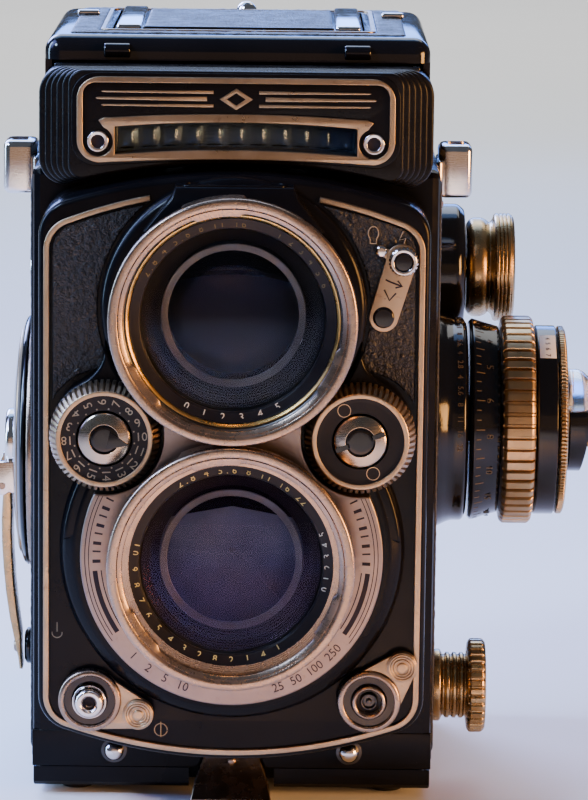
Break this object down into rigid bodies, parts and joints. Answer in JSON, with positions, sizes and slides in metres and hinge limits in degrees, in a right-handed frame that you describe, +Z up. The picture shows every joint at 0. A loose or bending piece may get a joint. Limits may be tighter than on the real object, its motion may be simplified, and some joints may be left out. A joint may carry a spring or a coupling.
{
  "type": "twin lens reflex camera",
  "caption": "Medium format twin lens reflex camera with viewing and taking lenses on a focusing board, folding viewing hood, side crank, focus knob and hinged back.",
  "frame": {"origin": "on the tripod bush's face, 7 mm in front of its screw hole and midway between the sides, on the plane the camera stands on", "axes": "+Z up; the lenses look along -Y; +X is to the right of someone facing the lenses, towards the focus knob"},
  "size_m": [0.1187, 0.102, 0.1472],
  "materials": {
    "black_enamel": "semi gloss black enamel",
    "black_leather": "pebbled",
    "chrome": "polished",
    "satin_silver": "satin",
    "glass": "coated optical glass",
    "mirror": "front silvered",
    "dark_metal": "matt black",
    "brass": "worn",
    "cell_glass": "ribbed"
  },
  "bodies": {
    "body": {"body_casting": "black_enamel", "nameplate_block": "black_enamel", "nameplate_trim": "satin_silver", "selenium_cell": "cell_glass", "strap_lug_left": "chrome", "strap_lug_right": "chrome", "crank_escutcheon": "dark_metal", "frame_counter": "chrome", "focus_bezel": "black_enamel", "meter_housing": "black_enamel", "meter_window": "cell_glass", "takeup_knob_collar": "black_enamel", "mirror": "mirror", "film_gate": "dark_metal", "back_hinge_pin": "chrome", "ground_glass": "glass", "hood_base": "dark_metal"},
    "film_roller_lower": {"film_roller_lower": "chrome"},
    "film_roller_upper": {"film_roller_upper": "chrome"},
    "hood_lid": {"hood_lid": "black_enamel", "sports_finder_door": "black_leather", "magnifier": "dark_metal"},
    "hood_flap_left": {"hood_flap_left": "dark_metal"},
    "hood_flap_right": {"hood_flap_right": "dark_metal"},
    "hood_flap_rear": {"hood_flap_rear": "dark_metal"},
    "back": {"back_cover": "black_enamel", "tripod_bush": "chrome"},
    "pressure_plate": {"pressure_plate": "dark_metal"},
    "back_latch": {"back_latch": "chrome"},
    "crank": {"crank_disc": "black_enamel"},
    "crank_arm": {"crank_arm": "chrome"},
    "crank_handle": {"crank_handle": "black_enamel"},
    "takeup_spool": {"takeup_spool": "dark_metal"},
    "focus_knob": {"distance_scale_ring": "black_enamel", "focus_grip_ring": "chrome", "meter_band": "black_enamel"},
    "lens_board": {"lens_board": "black_enamel", "board_trim": "satin_silver", "escutcheon": "black_enamel", "shutter_housing": "satin_silver", "taking_barrel": "black_enamel", "taking_glass": "glass", "taking_bayonet": "chrome", "viewing_barrel": "black_enamel", "viewing_glass": "glass", "viewing_bayonet": "chrome", "settings_window": "black_enamel", "aperture_hub": "chrome", "shutter_hub": "chrome", "sync_socket": "chrome"},
    "film_speed_ring": {"film_speed_ring": "chrome"},
    "meter_range_tab": {"meter_range_tab": "brass"},
    "takeup_spool_knob": {"takeup_spool_knob": "chrome"},
    "supply_spool_knob": {"supply_spool_knob": "chrome"},
    "aperture_wheel": {"aperture_wheel": "chrome"},
    "shutter_wheel": {"shutter_wheel": "chrome"},
    "release_button": {"release_button": "chrome"},
    "release_lock_lever": {"release_lock_lever": "chrome"},
    "sync_lock_lever": {"sync_lock_lever": "chrome"},
    "sync_selector_lever": {"sync_selector_lever": "chrome"}
  },
  "joints": [
    {"name": "film_roller_lower_spin", "type": "hinge", "parent": "body", "child": "film_roller_lower", "pos_m": [0, 0.0282, 0.0176], "axis": [1, 0, 0], "continuous": true},
    {"name": "film_roller_upper_spin", "type": "hinge", "parent": "body", "child": "film_roller_upper", "pos_m": [0, 0.0304, 0.0824], "axis": [1, 0, 0], "continuous": true},
    {"name": "hood_lid_fold", "type": "hinge", "parent": "body", "child": "hood_lid", "pos_m": [0, -0.028, 0.144], "axis": [1, 0, 0], "range_deg": [0, 90]},
    {"name": "hood_flap_left_fold", "type": "hinge", "parent": "body", "child": "hood_flap_left", "pos_m": [-0.031, 0, 0.13], "axis": [0, -1, 0], "range_deg": [0, 90]},
    {"name": "hood_flap_right_fold", "type": "hinge", "parent": "body", "child": "hood_flap_right", "pos_m": [0.031, 0, 0.13], "axis": [0, 1, 0], "range_deg": [0, 90]},
    {"name": "hood_flap_rear_fold", "type": "hinge", "parent": "body", "child": "hood_flap_rear", "pos_m": [0, 0.0282, 0.138], "axis": [-1, 0, 0], "range_deg": [0, 90]},
    {"name": "back_open", "type": "hinge", "parent": "body", "child": "back", "pos_m": [0, 0.0338, 0.1202], "axis": [1, 0, 0], "range_deg": [0, 105]},
    {"name": "pressure_plate_travel", "type": "slide", "parent": "back", "child": "pressure_plate", "axis": [0, 1, 0], "range_m": [0, 0.001], "stiffness_N_per_m": 400, "springref_m": -0.001},
    {"name": "back_latch_open", "type": "hinge", "parent": "back", "child": "back_latch", "pos_m": [0, -0.0246, 0.0036], "axis": [1, 0, 0], "range_deg": [0, 80]},
    {"name": "crank_turn", "type": "hinge", "parent": "body", "child": "crank", "pos_m": [0, 0, 0.064], "axis": [1, 0, 0], "range_deg": [0, 360]},
    {"name": "crank_arm_fold", "type": "hinge", "parent": "crank", "child": "crank_arm", "pos_m": [-0.0458, 0, 0.0558], "axis": [0, 1, 0], "range_deg": [0, 180]},
    {"name": "crank_handle_spin", "type": "hinge", "parent": "crank_arm", "child": "crank_handle", "pos_m": [-0.0405, 0, 0.0224], "axis": [1, 0, 0], "continuous": true},
    {"name": "takeup_spool_turn", "type": "hinge", "parent": "body", "child": "takeup_spool", "pos_m": [0, 0.0195, 0.0965], "axis": [1, 0, 0], "range_deg": [0, 270]},
    {"name": "focus_knob_turn", "type": "hinge", "parent": "body", "child": "focus_knob", "pos_m": [0, -0.003, 0.0697], "axis": [1, 0, 0], "range_deg": [0, 300]},
    {"name": "lens_board_travel", "type": "slide", "parent": "body", "child": "lens_board", "axis": [0, -1, 0], "range_m": [0, 0.008]},
    {"name": "film_speed_ring_turn", "type": "hinge", "parent": "body", "child": "film_speed_ring", "pos_m": [0.0633, -0.003, 0.0697], "axis": [1, 0, 0], "range_deg": [-150, 150]},
    {"name": "meter_range_tab_turn", "type": "hinge", "parent": "body", "child": "meter_range_tab", "pos_m": [0.06975, -0.003, 0.0681], "axis": [0.9863, 0, -0.165], "range_deg": [-12, 12]},
    {"name": "takeup_spool_knob_pull", "type": "slide", "parent": "body", "child": "takeup_spool_knob", "axis": [1, 0, 0], "range_m": [0, 0.007]},
    {"name": "supply_spool_knob_pull", "type": "slide", "parent": "body", "child": "supply_spool_knob", "axis": [1, 0, 0], "range_m": [0, 0.007]},
    {"name": "aperture_wheel_turn", "type": "hinge", "parent": "lens_board", "child": "aperture_wheel", "pos_m": [-0.0235, -0.055, 0.0752], "axis": [0, 1, 0], "range_deg": [-150, 150]},
    {"name": "shutter_wheel_turn", "type": "hinge", "parent": "lens_board", "child": "shutter_wheel", "pos_m": [0.0235, -0.055, 0.0752], "axis": [0, 1, 0], "range_deg": [-150, 150]},
    {"name": "release_button_press", "type": "slide", "parent": "lens_board", "child": "release_button", "axis": [0, 1, 0], "range_m": [0, 0.002], "stiffness_N_per_m": 300, "springref_m": -0.001},
    {"name": "release_lock_turn", "type": "hinge", "parent": "lens_board", "child": "release_lock_lever", "pos_m": [-0.0264, -0.05, 0.024], "axis": [0, 1, 0], "range_deg": [0, 35]},
    {"name": "sync_lock_turn", "type": "hinge", "parent": "lens_board", "child": "sync_lock_lever", "pos_m": [0.0259, -0.05, 0.0243], "axis": [0, 1, 0], "range_deg": [0, 25]},
    {"name": "sync_selector_turn", "type": "hinge", "parent": "lens_board", "child": "sync_selector_lever", "pos_m": [0.0276, -0.0495, 0.097], "axis": [0, -1, 0], "range_deg": [0, 15]}
  ],
  "couplings": [
    {"joint": "hood_flap_left_fold", "follows": "hood_lid_fold", "ratio": 1},
    {"joint": "hood_flap_right_fold", "follows": "hood_lid_fold", "ratio": 1},
    {"joint": "hood_flap_rear_fold", "follows": "hood_lid_fold", "ratio": 1},
    {"joint": "takeup_spool_turn", "follows": "crank_turn", "ratio": 0.75},
    {"joint": "focus_knob_turn", "follows": "lens_board_travel", "rad_per_m": 654}
  ]
}
